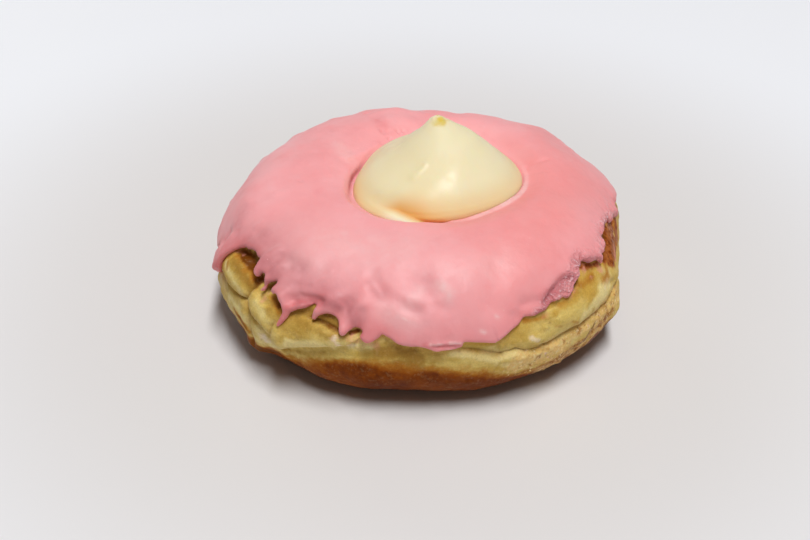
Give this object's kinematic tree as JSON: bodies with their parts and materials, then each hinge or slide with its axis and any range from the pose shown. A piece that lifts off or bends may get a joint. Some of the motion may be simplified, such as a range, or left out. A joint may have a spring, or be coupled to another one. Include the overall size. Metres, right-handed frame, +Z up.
{
  "type": "frosted cream doughnut",
  "caption": "Broad round yeast doughnut with a creased waist, a ragged pink coat of icing over its crown and a pointed dollop of cream in the middle.",
  "frame": {"origin": "middle of the flat underside, where the doughnut rests", "axes": "+Z up through the dollop of cream, +X to the right and -Y to the front, where the coat's pulled peaks are on the left"},
  "size_m": [0.1069, 0.1025, 0.0514],
  "materials": {
    "dough": "fried yeast dough, golden brown with a pale waist, satin with greasy patches",
    "icing": "set pink icing, soft satin, slightly lumpy",
    "cream": "pale yellow custard cream, wet gloss"
  },
  "bodies": {
    "root": {"dough": "dough", "icing": "icing", "cream": "cream"}
  },
  "joints": []
}
